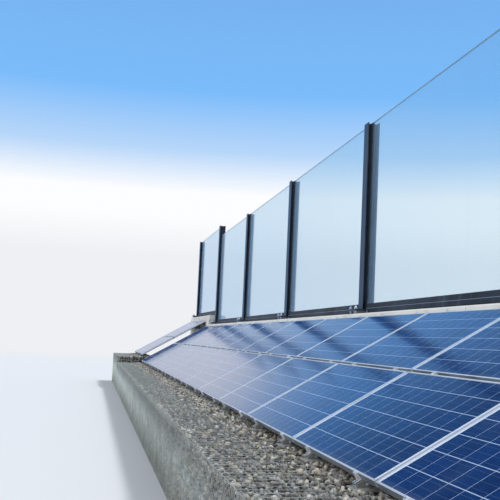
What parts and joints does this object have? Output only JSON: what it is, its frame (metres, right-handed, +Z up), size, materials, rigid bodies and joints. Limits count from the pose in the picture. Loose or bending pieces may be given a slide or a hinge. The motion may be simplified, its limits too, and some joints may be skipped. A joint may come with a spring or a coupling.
{
  "type": "highway noise barrier",
  "caption": "Straight run of glazed noise barrier bays on a concrete plinth, with sloping solar panels in front on rails and a gabion wall, and a stepped end bay.",
  "frame": {"origin": "on the ground, in the middle of the footprint", "axes": "+X along the barrier to the right as seen from the road, +Y away from the road, +Z up"},
  "size_m": [24.45, 2.874, 4.596],
  "materials": {
    "post_steel": "satin anthracite coating",
    "rail_steel": "satin blue-grey coating",
    "clear_pane": "clear, polished",
    "gasket_rubber": "matt black",
    "concrete": "smooth cast, slightly weathered",
    "grout": "rough",
    "stone_fill": "broken quarry stone",
    "basket_wire": "galvanised, dull",
    "galvanised": "galvanised",
    "panel_frame": "anodised, silver",
    "solar_cells": "glossy glass over blue cells",
    "rail_aluminium": "mill finish"
  },
  "bodies": {
    "root": {"post_1": "post_steel", "post_2": "post_steel", "post_3": "post_steel", "post_4": "post_steel", "post_5": "post_steel", "post_6": "post_steel", "post_7": "post_steel", "pane_1": "clear_pane", "pane_2": "clear_pane", "pane_3": "clear_pane", "pane_4": "clear_pane", "pane_5": "clear_pane", "pane_6": "clear_pane", "base_rail_1": "rail_steel", "base_rail_2": "rail_steel", "base_rail_3": "rail_steel", "base_rail_4": "rail_steel", "base_rail_5": "rail_steel", "base_rail_6": "rail_steel", "gabion_1": "stone_fill", "gabion_2": "stone_fill", "gabion_3": "stone_fill", "gabion_4": "stone_fill", "gabion_5": "stone_fill", "gabion_6": "stone_fill", "basket_1": "basket_wire", "basket_2": "basket_wire", "basket_3": "basket_wire", "basket_4": "basket_wire", "basket_5": "basket_wire", "basket_6": "basket_wire", "plinth_near": "concrete", "plinth_far": "concrete", "grout_beds": "grout", "rail_cleats": "galvanised", "pane_gaskets": "gasket_rubber", "glazing_angles": "post_steel", "panel_frames_lower": "panel_frame", "panel_frames_upper": "panel_frame", "laminates_lower": "solar_cells", "laminates_upper": "solar_cells", "slope_rails": "rail_aluminium", "panel_clamps": "galvanised", "rail_feet": "galvanised", "wall_brackets": "galvanised"}
  },
  "joints": []
}
